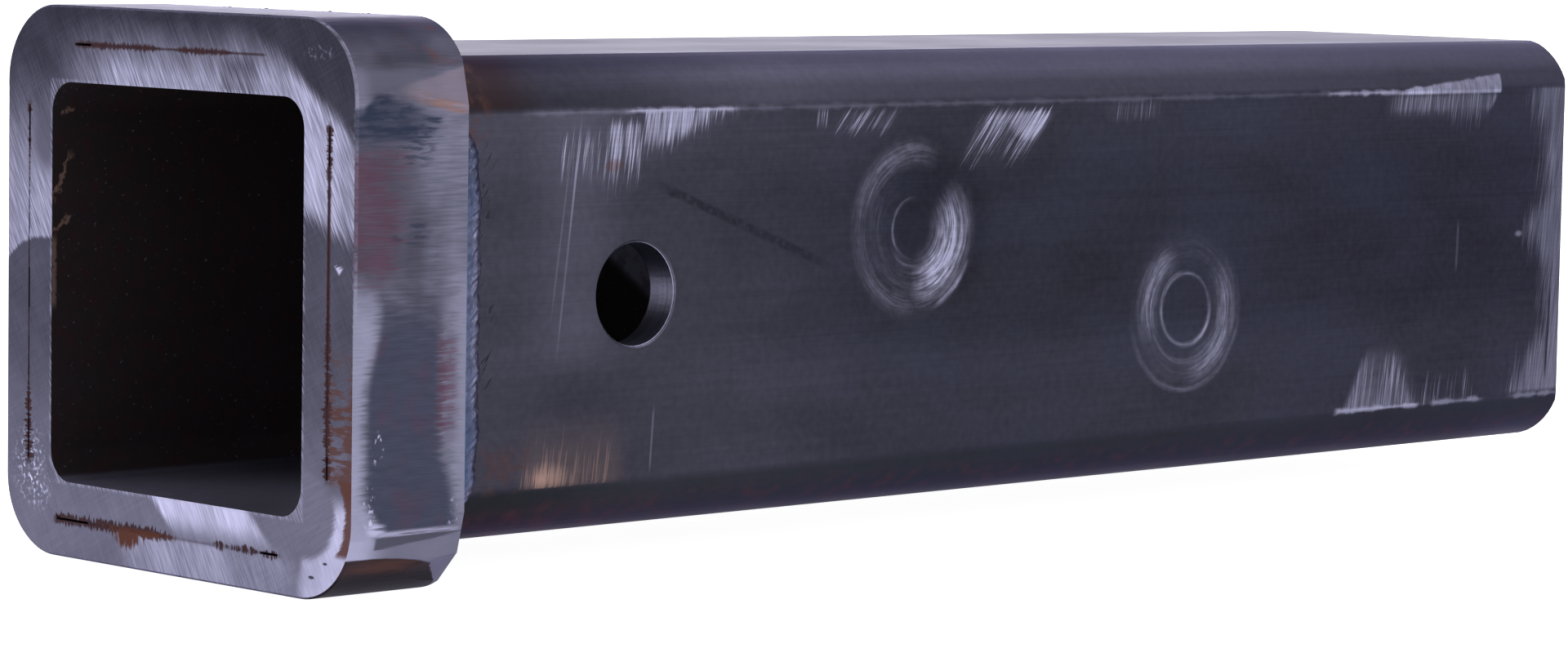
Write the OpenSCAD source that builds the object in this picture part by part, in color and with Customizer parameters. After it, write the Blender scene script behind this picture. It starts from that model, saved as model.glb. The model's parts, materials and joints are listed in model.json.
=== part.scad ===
// Weld-on receiver tube: a square steel tube that a square shank slides into, with a
// reinforcing collar welded round its mouth and a pin hole through its two side walls.
// The origin is the centre of the mouth, on the flush front face. The tube runs along +Y,
// its pin hole runs along X, and +Z is up. Left and right are as seen looking into the mouth.

/* [Tube] */
// Outside width and height of the square tube
tube_w = 76.2; // [70:0.1:90]
// Thickness of the tube's walls
tube_wall = 5.9; // [4:0.1:8]
// Length of the tube from the mouth to the rear end
tube_len = 304.8; // [150:0.1:600]
// Radius of the tube's outer corners
tube_corner_r = 12.9; // [11:0.1:16]
// Distance from the tube's side to the bend line where its flat ends
tube_bend = 8.7; // [6:0.1:10]
// Radius of the tube's inner corners
bore_corner_r = 5; // [2:0.1:8]
// Width of the edge break ground round the rear end
rear_break = 0.6; // [0.2:0.1:1.5]

/* [Pin hole] */
// Diameter of the hitch pin hole
pin_hole_d = 16.7; // [12:0.1:20]
// Distance from the front face to the centre of the pin hole
pin_hole_y = 63.2; // [50:0.1:100]
// Width of the countersink that deburrs the pin hole's outer rims
pin_hole_break = 0.4; // [0.2:0.1:1]

/* [Collar] */
// Thickness of the collar's walls
collar_wall = 5.95; // [4:0.05:10]
// Length of the collar along the tube
collar_len = 22.2; // [15:0.1:40]
// Slip clearance between the tube and the collar on each side
collar_gap = 0.4; // [0.1:0.05:1]
// Radius of the collar's outer corners
collar_corner_r = 12.5; // [8:0.1:16]
// Radius of the collar's inner corners
collar_inner_r = 6; // [3:0.1:8]
// Width of the edge break ground round the collar's front and rear
collar_break = 0.4; // [0.2:0.1:1]
// Depth to which the grinder flats cut into the collar's rounded corners
dress_depth = 0.5; // [0.2:0.1:1]

/* [Rear welds] */
// Distance from the tube's side to where each bead starts
bead_start = 3.1; // [2:0.1:20]
// Distance from the tube's opposite side to where each bead stops
bead_stop = 7.1; // [6:0.1:30]
// Leg of the fillet along the tube
bead_leg = 6.8; // [4:0.1:10]
// Height by which the bead's face bulges out of a flat fillet
bead_bulge = 1.5; // [0.8:0.1:2.5]
// Distance between two ripples of the bead
ripple_pitch = 3.2; // [2:0.1:5]
// Amount by which the ripples differ in size
ripple_wander = 0.16; // [0:0.01:0.3]

/* [Mouth welds] */
// Depth of the corner welds that are ground flush with the front face
mouth_weld_depth = 6; // [3:0.5:12]
// Run of the top right weld from the tube's side, along the top seam and down the side seam
weld_run_top_right = [16, 10]; // [4:0.5:20]
// Run of the bottom right weld from the tube's side, along the bottom seam and up the side seam
weld_run_bottom_right = [11.5, 12.5]; // [4:0.5:20]
// Run of the bottom left weld from the tube's side, along the bottom seam and up the side seam
weld_run_bottom_left = [7.5, 9]; // [4:0.5:20]
// Run of the top left weld from the tube's side, along the top seam and down the side seam
weld_run_top_left = [12, 10]; // [4:0.5:20]

/* [Hidden] */
$fn = 96;

// How far a cutting shape runs past the face that it cuts
past = 1;

tube_half = tube_w / 2;
bore_half = tube_half - tube_wall;
collar_bore_half = tube_half + collar_gap;
collar_half = collar_bore_half + collar_wall;

// The tube's corner arc meets both flats at the bend lines. It is rounder than a tangent arc
// would be there, which leaves a faint crease along each bend line.
tube_arc_inset = (tube_bend + sqrt(2 * tube_corner_r ^ 2 - tube_bend ^ 2)) / 2;
tube_arc_centre = tube_half - tube_arc_inset;
collar_arc_centre = collar_half - collar_corner_r;

// The bead's face is an arc from the collar's outer edge to the end of the leg on the tube
bead_rise = collar_half - tube_half;
bead_chord = norm([bead_rise, bead_leg]);
bead_r = (bead_chord ^ 2 / 4 + bead_bulge ^ 2) / (2 * bead_bulge);
bead_sink = bead_r - bead_bulge;
bead_axis_x = tube_half + bead_rise / 2 - bead_sink * bead_leg / bead_chord;
bead_axis_y = collar_len + bead_leg / 2 - bead_sink * bead_rise / bead_chord;
// The bead narrows over its last few ripples, at its start and at its stop
bead_end_drop = 2.2;
bead_end_r = bead_r - bead_end_drop;
ripple_count = floor((tube_w - bead_start - bead_stop - 2 * bead_end_r) / ripple_pitch) + 1;

// Extrudes a front view from one distance behind the mouth to another
module along_y(from, to) {
    translate([0, to, 0]) rotate([90, 0, 0]) linear_extrude(to - from) children();
}

// A square with round corners that meet its sides smoothly
module rounded_square(half, r) {
    square([2 * half, 2 * (half - r)], center = true);
    square([2 * (half - r), 2 * half], center = true);
    for (x = [-1, 1], z = [-1, 1]) translate([x, z] * (half - r)) circle(r);
}

// The tube's outside, whose corner arcs meet the flats at bend lines
module tube_outline() {
    intersection() {
        square(tube_w, center = true);
        union() {
            square([tube_w, tube_w - 2 * tube_bend], center = true);
            square([tube_w - 2 * tube_bend, tube_w], center = true);
            for (x = [-1, 1], z = [-1, 1]) translate([x, z] * tube_arc_centre) circle(tube_corner_r);
        }
    }
}

// The ring of metal that an edge break of a given width grinds off an outer corner of radius r,
// seen in half section, with the end face at zero and the part below it
module break_section(r, width) {
    polygon([[r - width, 0], [r - width, past], [r + past, past], [r + past, -width - past], [r, -width]]);
}

// Grinds an edge break round the outside of a square end that faces +Z. The flats are cut
// straight, and each corner is cut round its own centre.
module break_square_end(half, arc_centre, r, width) {
    for (turn = [0:90:270]) rotate(turn) {
        translate([0, half, 0]) rotate([90, 0, 90])
            linear_extrude(2 * half, center = true) break_section(0, width);
        intersection() {
            translate([arc_centre, arc_centre, 0]) rotate_extrude() break_section(r, width);
            translate([arc_centre, arc_centre, -half]) cube(2 * half);
        }
    }
}

// The square tube, cut square at both ends and drilled through both sides for the hitch pin
module receiver_tube() {
    color("#3a3c48") difference() {
        along_y(0, tube_len) difference() {
            tube_outline();
            rounded_square(bore_half, bore_corner_r);
        }
        translate([0, tube_len, 0]) rotate([-90, 0, 0])
            break_square_end(tube_half, tube_arc_centre, tube_corner_r, rear_break);
        translate([0, pin_hole_y, 0]) rotate([0, 90, 0]) {
            cylinder(d = pin_hole_d, h = tube_w + 2 * past, center = true);
            for (side = [0, 180]) rotate([side, 0, 0]) translate([0, 0, tube_half - pin_hole_break])
                cylinder(d1 = pin_hole_d, d2 = pin_hole_d + 4 * pin_hole_break, h = 2 * pin_hole_break);
        }
    }
}

// Cuts one grinder flat into a collar corner, deepest at the collar's rear edge. Corners count
// clockwise from the top right. The flat leans away from the middle of its corner, and its slope
// is the angle at which it runs out forwards.
module grinder_flat(corner, lean, slope) {
    block = 2 * collar_half;
    rotate([0, 90 * corner - 45, 0]) translate([collar_arc_centre * sqrt(2), collar_len, 0])
        rotate([0, -lean, 0]) translate([collar_corner_r - dress_depth, 0, 0]) rotate([0, 0, slope])
            translate([0, -block / 2, -block / 2]) cube(block);
}

// The flats that the grinder left on the collar's corners
module dressed_corners() {
    grinder_flat(corner = 0, lean = -32, slope = 2.2);
    grinder_flat(corner = 1, lean = 31, slope = 0.4);
    grinder_flat(corner = 1, lean = 2, slope = 3.2);
    grinder_flat(corner = 2, lean = -6, slope = 2.4);
    grinder_flat(corner = 3, lean = 33, slope = 2);
}

// The collar, a ring sawn from a larger square tube and slipped over the tube's mouth
module mouth_collar() {
    color("#6a6878") difference() {
        along_y(0, collar_len) difference() {
            rounded_square(collar_half, collar_corner_r);
            rounded_square(collar_bore_half, collar_inner_r);
        }
        rotate([90, 0, 0]) break_square_end(collar_half, collar_arc_centre, collar_corner_r, collar_break);
        dressed_corners();
    }
}

// Radius of one ripple: it wanders along the bead and drops at both ends
function ripple_r(i) =
    let (t = 2 * i / (ripple_count - 1) - 1)
    bead_r + ripple_wander * sin(i * 137) - bead_end_drop * abs(t) ^ 12;

// A fillet weld in the corner behind the collar: a row of overlapping round ripples that fills
// the space above the tube and behind the collar
module rear_weld(turn) {
    middle = (bead_start - bead_stop) / 2;
    first = middle - (ripple_count - 1) * ripple_pitch / 2;
    color("#4f5f80") rotate([0, turn, 0]) difference() {
        for (i = [0:ripple_count - 1])
            translate([bead_axis_x, bead_axis_y, first + i * ripple_pitch]) sphere(ripple_r(i));
        along_y(0, tube_len) tube_outline();
        along_y(-tube_half, collar_len) square(2 * tube_w, center = true);
    }
}

// A corner weld at the mouth. It fills the gap between the tube's corner and the collar's, and
// runs a little way along the two seams.
module mouth_weld(x_side, z_side, run) {
    window = run + [bead_rise, bead_rise];
    middle = [tube_half, tube_half] - run + window / 2;
    color("#77758a") along_y(0, mouth_weld_depth) intersection() {
        difference() {
            rounded_square(collar_bore_half, collar_inner_r);
            tube_outline();
        }
        translate([x_side * middle.x, z_side * middle.y]) square(window, center = true);
    }
}

receiver_tube();
mouth_collar();
rear_weld(0);  // rear_weld_right
rear_weld(90);  // rear_weld_bottom
rear_weld(180);  // rear_weld_left
rear_weld(270);  // rear_weld_top
mouth_weld(1, 1, weld_run_top_right);  // mouth_weld_top_right
mouth_weld(1, -1, weld_run_bottom_right);  // mouth_weld_bottom_right
mouth_weld(-1, -1, weld_run_bottom_left);  // mouth_weld_bottom_left
mouth_weld(-1, 1, weld_run_top_left);  // mouth_weld_top_left
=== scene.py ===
"""Weld-on receiver tube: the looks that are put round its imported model."""

import json
import math

import bmesh
import bpy
from mathutils import Matrix, Vector, noise

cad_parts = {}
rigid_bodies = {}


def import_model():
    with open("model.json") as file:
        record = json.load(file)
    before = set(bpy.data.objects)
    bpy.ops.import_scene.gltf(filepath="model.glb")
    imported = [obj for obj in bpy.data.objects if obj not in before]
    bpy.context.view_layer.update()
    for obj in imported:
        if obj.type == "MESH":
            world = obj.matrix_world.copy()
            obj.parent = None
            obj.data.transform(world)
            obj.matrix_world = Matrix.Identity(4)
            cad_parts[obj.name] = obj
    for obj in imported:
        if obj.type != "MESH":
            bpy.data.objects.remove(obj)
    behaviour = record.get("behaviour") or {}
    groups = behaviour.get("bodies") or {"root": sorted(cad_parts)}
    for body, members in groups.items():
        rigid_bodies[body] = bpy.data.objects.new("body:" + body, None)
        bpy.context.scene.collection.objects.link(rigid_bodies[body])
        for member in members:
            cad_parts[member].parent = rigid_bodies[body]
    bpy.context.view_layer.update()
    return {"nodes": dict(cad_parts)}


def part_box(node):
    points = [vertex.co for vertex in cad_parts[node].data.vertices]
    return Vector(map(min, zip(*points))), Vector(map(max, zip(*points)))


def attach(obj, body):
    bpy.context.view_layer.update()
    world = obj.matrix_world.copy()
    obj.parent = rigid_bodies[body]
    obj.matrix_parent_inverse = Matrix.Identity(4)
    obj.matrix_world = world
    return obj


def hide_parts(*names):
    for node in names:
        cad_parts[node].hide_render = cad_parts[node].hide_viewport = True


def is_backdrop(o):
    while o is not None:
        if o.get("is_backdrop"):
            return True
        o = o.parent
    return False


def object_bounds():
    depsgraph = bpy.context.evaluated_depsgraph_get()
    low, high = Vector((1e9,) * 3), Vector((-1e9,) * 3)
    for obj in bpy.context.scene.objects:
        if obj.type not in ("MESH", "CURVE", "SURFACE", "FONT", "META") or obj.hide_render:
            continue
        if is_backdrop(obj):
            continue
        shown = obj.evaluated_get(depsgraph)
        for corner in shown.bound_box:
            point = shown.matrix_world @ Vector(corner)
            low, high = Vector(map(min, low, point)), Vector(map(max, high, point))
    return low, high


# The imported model: a square tube, a collar round its mouth, four fillet welds behind the collar
# and four corner welds at the mouth. All of it is steel, and all of it rides on one body.
BODY = "root"
MM = 0.001
for leftover in list(bpy.data.objects):
    bpy.data.objects.remove(leftover)
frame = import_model()
nodes = frame["nodes"]
scene = bpy.context.scene
scene.view_settings.view_transform = "Standard"

# The camera looks at the mouth from the front right, from a little above the tube and about
# 0.8 m away, with a long lens. Its place comes from the edges of the tube in the photograph.
CAMERA_PLACE = Vector((0.6352, -0.4835, 0.0654))
CAMERA_SWING = math.radians(45.848)
CAMERA_DIP = math.radians(4.929)
CAMERA_ROLL = math.radians(0.991)
FRAME_WIDTH_PX = 1920
FOCAL_PX = 6225.3
SENSOR_WIDTH_MM = 36.0
NEAREST_SEEN = 0.01
camera_data = bpy.data.cameras.new("camera")
camera_data.sensor_width = SENSOR_WIDTH_MM
camera_data.lens = FOCAL_PX / FRAME_WIDTH_PX * SENSOR_WIDTH_MM
camera_data.clip_start = NEAREST_SEEN
camera = bpy.data.objects.new("camera", camera_data)
scene.collection.objects.link(camera)
level_ahead = Vector((-math.sin(CAMERA_SWING), math.cos(CAMERA_SWING), 0.0))
ahead = level_ahead * math.cos(CAMERA_DIP) - Vector((0.0, 0.0, math.sin(CAMERA_DIP)))
level_right = ahead.cross(Vector((0.0, 0.0, 1.0))).normalized()
level_up = level_right.cross(ahead)
camera_right = level_right * math.cos(CAMERA_ROLL) + level_up * math.sin(CAMERA_ROLL)
camera_up = level_up * math.cos(CAMERA_ROLL) - level_right * math.sin(CAMERA_ROLL)
camera_turn = Matrix((camera_right, camera_up, -ahead)).transposed().to_4x4()
camera.matrix_world = Matrix.Translation(CAMERA_PLACE) @ camera_turn
scene.camera = camera

# The stage: a pale floor, level with the tube and just under the lower rear weld. Floor and room
# are plain white to the camera and in reflections, and the floor still takes the tube's shadow.
FLOOR_REACH = 6.0
STAND_CLEARANCE = 0.0001
floor_build = bmesh.new()
bmesh.ops.create_grid(floor_build, x_segments=1, y_segments=1, size=FLOOR_REACH)
floor_place = Vector((0.0, 0.0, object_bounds()[0].z - STAND_CLEARANCE))
bmesh.ops.translate(floor_build, verts=floor_build.verts, vec=floor_place)
floor_mesh = bpy.data.meshes.new("floor")
floor_build.to_mesh(floor_mesh)
floor_build.free()
floor = bpy.data.objects.new("floor", floor_mesh)
scene.collection.objects.link(floor)
floor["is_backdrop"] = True


class Signal:
    """A shader socket that can be reckoned with: its sums and products add Math nodes."""

    def __init__(self, socket):
        self.socket = socket

    def node(self, kind, settings, sockets, output=0):
        """Adds a node of any kind: its settings first, then its sockets' values or links."""
        tree = self.socket.id_data
        made = tree.nodes.new(kind)
        for name, setting in settings.items():
            setattr(made, name, setting)
        for name, value in sockets.items():
            if isinstance(value, Signal):
                tree.links.new(value.socket, made.inputs[name])
            else:
                made.inputs[name].default_value = value
        return Signal(made.outputs[output]) if made.outputs else None

    def maths(self, operation, first, second=0.0):
        return self.node("ShaderNodeMath", {"operation": operation}, {0: first, 1: second})

    def __add__(self, other):
        return self.maths("ADD", self, other)

    def __radd__(self, other):
        return self.maths("ADD", other, self)

    def __sub__(self, other):
        return self.maths("SUBTRACT", self, other)

    def __rsub__(self, other):
        return self.maths("SUBTRACT", other, self)

    def __mul__(self, other):
        return self.maths("MULTIPLY", self, other)

    def __rmul__(self, other):
        return self.maths("MULTIPLY", other, self)

    def __truediv__(self, other):
        return self.maths("DIVIDE", self, other)

    def __pow__(self, other):
        return self.maths("POWER", self, other)

    def __abs__(self):
        return self.maths("ABSOLUTE", self)

    def most(self, other):
        return self.maths("MAXIMUM", self, other)

    def least(self, other):
        return self.maths("MINIMUM", self, other)

    def over(self, low, high):
        """0 below low and 1 above high, smooth between, or 1 and 0 where low is the larger."""
        limits = {"Value": self, "From Min": low, "From Max": high}
        return self.node("ShaderNodeMapRange", {"interpolation_type": "SMOOTHSTEP"}, limits)

    def within(self, low, high, soft):
        """1 between low and high, with edges as wide as soft."""
        rise = self.over(low - soft / 2, low + soft / 2)
        return rise * self.over(high + soft / 2, high - soft / 2)

    def toward(self, goal, share):
        """A number that comes to goal where share is 1."""
        return self.node("ShaderNodeMix", {"data_type": "FLOAT"}, {0: share, 2: self, 3: goal})

    def tinted(self, goal, share):
        """A colour that comes to the colour goal where share is 1."""
        sockets = {0: share, 6: self, 7: goal}
        return self.node("ShaderNodeMix", {"data_type": "RGBA"}, sockets, output=2)

    def parts(self):
        """The x, y and z of a vector."""
        first = self.node("ShaderNodeSeparateXYZ", {}, {0: self})
        return [Signal(socket) for socket in first.socket.node.outputs]


def seen_directly(tree):
    """1 for rays from the camera or off something shiny, and 0 for those that only give light."""
    rays = tree.nodes.new("ShaderNodeLightPath").outputs
    kinds = ("Is Camera Ray", "Is Glossy Ray", "Is Transmission Ray")
    camera_ray, glossy_ray, through_ray = (Signal(rays[kind]) for kind in kinds)
    return camera_ray.most(glossy_ray).most(through_ray)


FLOOR_PALE = (0.8, 0.8, 0.8, 1.0)
FLOOR_GLOW = 0.95
floor_paint = bpy.data.materials.new("pale_floor")
floor_paint.use_nodes = True
floor_paint.node_tree.nodes.clear()
shown = seen_directly(floor_paint.node_tree)
matt = shown.node("ShaderNodeBsdfDiffuse", {}, {"Color": FLOOR_PALE})
glow = shown.node("ShaderNodeEmission", {}, {"Strength": shown * FLOOR_GLOW})
lit_floor = shown.node("ShaderNodeAddShader", {}, {0: matt, 1: glow})
shown.node("ShaderNodeOutputMaterial", {}, {"Surface": lit_floor})
floor_mesh.materials.append(floor_paint)

# The room and its lamps: white walls that light the steel softly, a large lamp over the front
# left, one over the rear, a low wide one behind the tube and a small one at the right.
WHITE = (1.0, 1.0, 1.0, 1.0)
ROOM_LIGHT = 0.62
world = bpy.data.worlds.new("room")
world.use_nodes = True
world.node_tree.nodes.clear()
scene.world = world
room_seen = seen_directly(world.node_tree)
room_strength = room_seen * (1.0 - ROOM_LIGHT) + ROOM_LIGHT
room = room_seen.node("ShaderNodeBackground", {}, {"Color": WHITE, "Strength": room_strength})
room_seen.node("ShaderNodeOutputWorld", {}, {"Surface": room})


def softbox(name, place, wide, high, brightness):
    """A rectangular lamp that faces the middle of the tube, brightness times a white wall."""
    lamp = bpy.data.lights.new(name, "AREA")
    lamp.shape = "RECTANGLE"
    lamp.size = wide
    lamp.size_y = high
    lamp.energy = brightness * math.pi * wide * high
    holder = bpy.data.objects.new(name, lamp)
    scene.collection.objects.link(holder)
    aim = (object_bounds()[0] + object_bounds()[1]) / 2 - Vector(place)
    facing = aim.to_track_quat("-Z", "Y").to_matrix().to_4x4()
    holder.matrix_world = Matrix.Translation(place) @ facing


softbox("softbox_front", (-0.7, -1.0, 1.3), wide=0.9, high=0.9, brightness=2.0)
softbox("softbox_over", (0.4, 0.8, 1.5), wide=1.2, high=0.8, brightness=1.6)
softbox("softbox_behind", (-1.2, 1.3, 0.45), wide=1.6, high=0.8, brightness=2.4)
softbox("softbox_right", (1.4, 0.2, 0.7), wide=0.5, high=0.7, brightness=1.2)

# The mouth: the tube's and the collar's front edges and the corner welds between them, ground
# flush in one plane. A bright band round the bore is painted sheen, the light reflected in the
# brushed steel, with matt steel under it, and the joint between tube and collar has bled rust.
FRONT_DEPTH_MM = 0.12
MOUTH_RELIEF = 0.00006
COLLAR_WALL_MM = 5.95
tube_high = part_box("receiver_tube")[1]
JOINT_MM = ((tube_high.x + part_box("mouth_collar")[1].x) / MM - COLLAR_WALL_MM) / 2


def srgb(red, green, blue):
    """A colour given as it looks on a screen, from 0 to 255."""
    shares = [value / 255 for value in (red, green, blue)]
    lit = [s / 12.92 if s <= 0.04045 else ((s + 0.055) / 1.055) ** 2.4 for s in shares]
    return (*lit, 1.0)


BLACK = (0.0, 0.0, 0.0, 1.0)
PALE_STEEL = (0.62, 0.612, 0.885, 1.0)
EDGE_TINT = (0.52, 0.5, 0.62, 1.0)
DARK_RUST = srgb(56, 24, 26)
ORANGE_RUST = srgb(98, 55, 42)
SCREEN_WHITE = 255.0
SCREEN_GAMMA = 2.2
MATT_TONE = 57
SHEEN_BAND_TONE = 134
SHEEN_GAP_CORNER_TONE = 84
FLECK_TONE = 165
UPPER_PATCH_TONE = 170
LOWER_PATCH_TONE = 138
CRESCENT_TONE = 160
DIMPLE_TONE = 102
PINHOLE_TONE = 70
PIT_SPARKLE_TONE = 188
RIM_AND_HIGHLIGHT_TONE = 160


def steel(tone):
    """Bare steel, faintly blue, whose red looks like tone on a screen, from 0 to 255."""
    share = (tone / SCREEN_WHITE) ** SCREEN_GAMMA / PALE_STEEL[0]
    return share.node("ShaderNodeMix", {"data_type": "RGBA"}, {0: share, 6: BLACK, 7: PALE_STEEL}, 2)


def start_finish(name):
    """A new material, and the point being shaded, in millimetres in the part's own frame."""
    finish = bpy.data.materials.new(name)
    finish.use_nodes = True
    finish.node_tree.nodes.clear()
    place = Signal(finish.node_tree.nodes.new("ShaderNodeTexCoord").outputs["Object"])
    scaled = {0: place, "Scale": 1.0 / MM}
    return finish, place.node("ShaderNodeVectorMath", {"operation": "SCALE"}, scaled)


def surface(colour, metallic, roughness, height, relief):
    """A steel surface. Height runs from 0 to 1 and stands relief metres proud."""
    bump = height.node("ShaderNodeBump", {}, {"Height": height, "Distance": relief})
    looks = {
        "Base Color": colour,
        "Metallic": metallic,
        "Roughness": roughness,
        "Specular Tint": EDGE_TINT,
        "Normal": bump,
    }
    return colour.node("ShaderNodeBsdfPrincipled", {}, looks)


def covered(under, cover, share):
    """The surface under, with the surface cover over it where share is 1."""
    return share.node("ShaderNodeMixShader", {}, {0: share, 1: under, 2: cover})


def show(shown_surface):
    """Makes a surface the finish of its material."""
    shown_surface.node("ShaderNodeOutputMaterial", {}, {"Surface": shown_surface})


def grain(point, size, turn=(0, 0, 0), seed=0.0, detail=2.0):
    """Noise about a half, its grains size mm long each way and turned by turn degrees."""
    spread = {
        "Vector": point,
        "Location": (31.7 * seed, 17.3 * seed, 23.9 * seed),
        "Rotation": [math.radians(angle) for angle in turn],
        "Scale": size,
    }
    placed = point.node("ShaderNodeMapping", {"vector_type": "TEXTURE"}, spread)
    return placed.node("ShaderNodeTexNoise", {}, {"Vector": placed, "Scale": 1.0, "Detail": detail})


def past(across, rise, start, end):
    """How far a point lies to the left of the line from start to end, in mm."""
    length = math.dist(start, end)
    run = (end[0] - start[0]) / length
    climb = (end[1] - start[1]) / length
    return (rise - start[1]) * run - (across - start[0]) * climb


def along(across, rise, start, end):
    """How far a point lies along the line from start to end, 0 at start and 1 at end."""
    length = math.dist(start, end)
    run = (end[0] - start[0]) / length ** 2
    climb = (end[1] - start[1]) / length ** 2
    return (across - start[0]) * run + (rise - start[1]) * climb


def scratch(across, rise, start, end, width):
    """A thin line from start to end that fades at both ends."""
    line = abs(past(across, rise, start, end)).over(width, width * 0.3)
    share = along(across, rise, start, end)
    return line * share.over(-0.05, 0.2) * share.over(1.05, 0.8)


def blot(across, rise, centre, reach):
    """1 at centre, falling evenly to 0 at reach, the half sizes of an oval, and below outside."""
    wide = (across - centre[0]) / reach[0]
    tall = (rise - centre[1]) / reach[1]
    return 1 - (wide * wide + tall * tall) ** 0.5


def mouth_plane(point):
    """The ground front plane of tube, collar and mouth welds."""
    x, y, z = point.parts()
    disc_lines = grain(point, (6, 6, 0.34), turn=(0, 60, 0), seed=1, detail=4)
    cross_lines = grain(point, (6, 6, 0.4), turn=(0, -25, 0), seed=2)
    clouds = grain(point, (9, 9, 4), turn=(0, 60, 0), seed=3)
    ragged = (clouds - 0.5) * 5 + (disc_lines - 0.5) * 4

    # matt steel, paler toward the bottom
    tone = MATT_TONE + z.over(45, -45) * 40 + (clouds - 0.5) * 16 + (cross_lines - 0.5) * 14
    tone = tone + (disc_lines - 0.5) * 16 - z.within(-18, 0, 8) * 7 + z.over(-30, -35) * 4

    # a band of painted sheen, the light reflected in the disc's brushed marks, from the left side over
    # the top to the right side
    shoulder = past(x, z, (43.6, 26.6), (24, 39.9)) + ragged * 0.5
    lit_top = ((43 - z + ragged * 0.4) / 9).least(1.0).most(0.0) * x.over(-38, -12)
    lit_top = lit_top * shoulder.over(-1.5, 1.8)
    lit_left = z.over(40, 11) * x.over(-27, -33)
    lit_right = shoulder.over(-1.5, 1.8) * x.over(23, 31)
    left_step = ((-32 - x).most(0.0) / 12) ** 3.0 * 4
    foot_left = z - 7 + left_step + (disc_lines - 0.5) * 1.5
    foot_right = z - 14.2 + (x - 34) * 0.34 + (disc_lines - 0.5) * 5
    foot = foot_right.over(-2.2, 2.2).toward(foot_left.over(-0.4, 0.4), x.over(4, -4))
    band = lit_top.most(lit_left).most(lit_right) * foot
    sheen = SHEEN_BAND_TONE + x.over(26, 33) * 14 - x.over(39.5, 42) * 22
    sheen = sheen + (disc_lines - 0.5) * 150 + (clouds - 0.5) * 44
    tone = tone.toward(sheen, band)
    # a stretch at the top and a corner at the upper left are left darker inside the painted sheen
    sheen_gap_stretch = x.within(11.5, 20.5, 3) * z.within(30, 37.5, 3)
    tone = tone - sheen_gap_stretch * 30
    sheen_gap_corner = (blot(x, z, (-33.5, 23), (5, 6.5)) + (disc_lines - 0.5) * 0.9).over(0, 0.6)
    tone = tone.toward(SHEEN_GAP_CORNER_TONE, sheen_gap_corner * 0.8)

    # the small bright fleck at the right of the bore
    fleck = ((z - 5.5) * 0.9 - abs(x - 40.8) + (clouds - 0.5) * 1.6).over(-0.1, 0.6)
    fleck = fleck * (z + (cross_lines - 0.5) * 2).over(7.1, 6.4)
    tone = tone.toward(FLECK_TONE, fleck)

    # bright patches under the bore, slanted as the disc ran: the disc's marks, painted bright as the
    # light reflected in them
    upper_slant = x + (z + 33) * 1.2 + (disc_lines - 0.5) * 4
    upper_patch = upper_slant.within(-4.9, 19.8, 2.5) * z.over(-39, -34.4) * z.over(-31, -32)
    upper_tone = UPPER_PATCH_TONE + (disc_lines - 0.5) * 90 + (clouds - 0.5) * 50
    tone = tone.toward(upper_tone, upper_patch * 0.9)
    lower_slant = x + (z + 41) * 0.577 + ragged * 0.5
    lower_patch = lower_slant.within(-12, 14, 5) * z.over(-37.6, -39.2)
    lower_tone = LOWER_PATCH_TONE + (disc_lines - 0.5) * 100 + (clouds - 0.5) * 60
    tone = tone.toward(lower_tone, lower_patch * 0.85)
    lit_foot = lower_slant.within(14, 31, 5) * z.over(-36, -40)
    tone = tone + lit_foot * (16 + (disc_lines - 0.5) * 50)

    # the lower right corner: a matt dimple inside a bright crescent with two pits
    from_dimple = ((x - 33.4) ** 2.0 + (z + 31.2) ** 2.0) ** 0.5 + (cross_lines - 0.5) * 1.2
    corner_end = x - 32.4 - (z + 38) * 0.28
    crescent = from_dimple.over(5.8, 7.8) * corner_end.over(-0.8, 0.8) * z.over(-27, -31)
    crescent = crescent * x.over(30, 34)
    tone = tone.toward(CRESCENT_TONE + (clouds - 0.5) * 60 + (disc_lines - 0.5) * 40, crescent)
    dimple = from_dimple.over(7.2, 5.6) * x.over(28, 32)
    tone = tone.toward(DIMPLE_TONE + (cross_lines - 0.5) * 22, dimple * 0.8)
    pinholes = blot(x, z, (38.1, -38.4), (0.6, 0.25)).most(blot(x, z, (34.8, -40.8), (0.8, 0.3)))
    tone = tone.toward(PINHOLE_TONE, pinholes.over(0, 0.3))

    # pits painted with bright sparkles of light, at the lower left corner and a few at the upper right
    # one
    pits = grain(point, (0.7, 0.7, 0.7), seed=4, detail=3).over(0.5, 0.66)
    pitted = blot(x, z, (-38, -30), (5.6, 8.5)).over(0, 0.7)
    pitted = pitted.most(blot(x, z, (-35.5, -34.5), (4.5, 4)).over(0, 0.7) * 0.8)
    pitted = pitted.most(blot(x, z, (35.5, 39.2), (4.5, 1.5)).over(0, 0.6) * 0.45)
    tone = tone.toward(PIT_SPARKLE_TONE, pits * pitted * (0.4 + disc_lines.over(0.4, 0.6) * 0.6))

    # worn edges of the bore's rim and the outer rim, painted bright partly as a highlight
    outline = abs(x).most(abs(z))
    rim = outline.over(32.9, 32.4).most(outline.over(43.9, 44.3))
    tone = tone.toward(RIM_AND_HIGHLIGHT_TONE, rim * disc_lines.over(0.4, 0.65) * 0.5)
    colour = steel(tone)

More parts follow.
